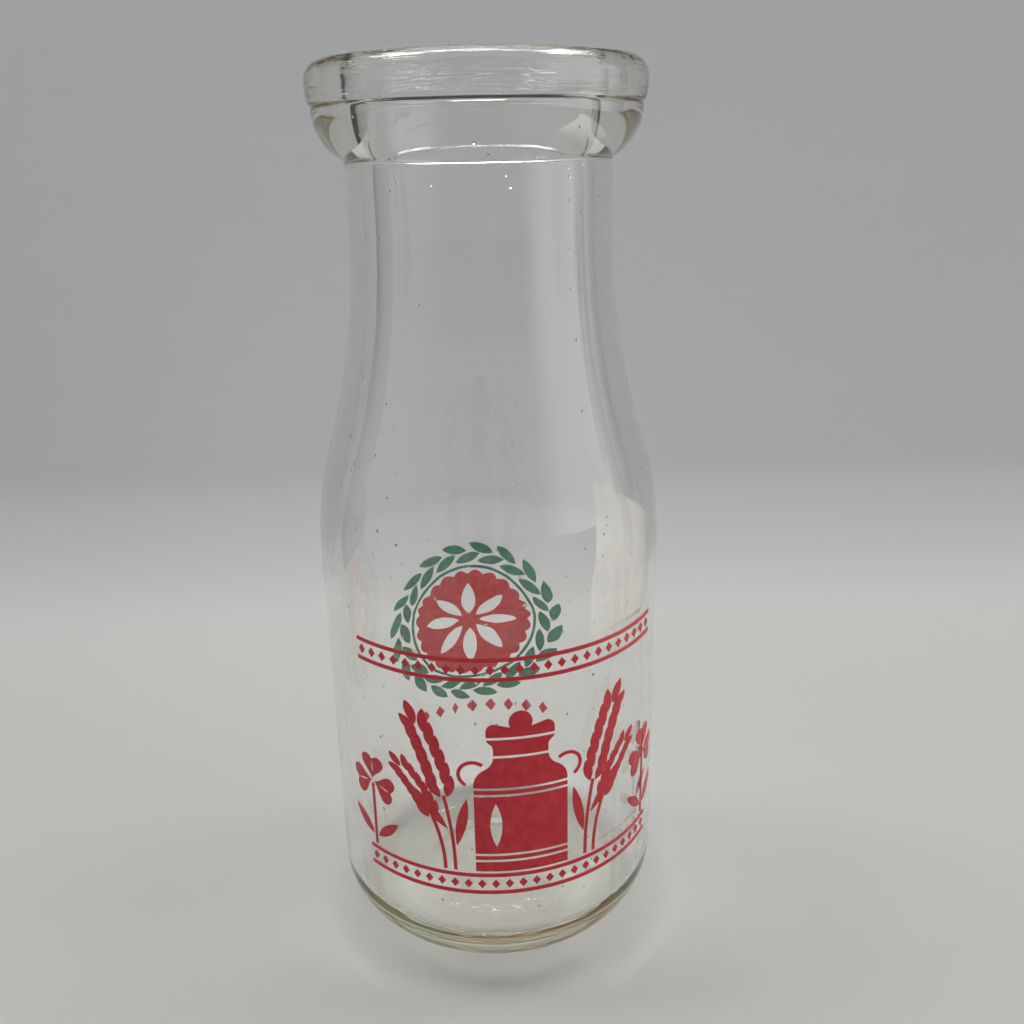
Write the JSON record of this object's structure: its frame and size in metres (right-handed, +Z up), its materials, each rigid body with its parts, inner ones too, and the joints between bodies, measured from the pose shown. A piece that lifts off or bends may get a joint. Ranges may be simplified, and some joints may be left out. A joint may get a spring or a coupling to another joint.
{
  "type": "milk bottle",
  "caption": "Round clear-glass milk bottle with a broad lip, a paper-cap seat inside its mouth, a long sloping shoulder and fired enamel prints on the body.",
  "frame": {"origin": "on the table under the middle of the base", "axes": "+Z up along the bottle's axis towards the mouth, -Y towards the front print"},
  "size_m": [0.0608, 0.061, 0.155],
  "materials": {
    "clear_glass": "clear, fire polished",
    "red_enamel": "fired enamel, soft gloss",
    "green_enamel": "fired enamel, soft gloss"
  },
  "bodies": {
    "root": {"glass_bottle": "clear_glass", "front_churn": "red_enamel", "front_wheat_left": "red_enamel", "front_wheat_right": "red_enamel", "front_clover_sprigs": "red_enamel", "front_upper_border": "red_enamel", "front_lower_border": "red_enamel", "back_medallion": "red_enamel", "back_ring": "green_enamel", "back_wreath": "green_enamel", "back_lozenge_row": "red_enamel"}
  },
  "joints": []
}
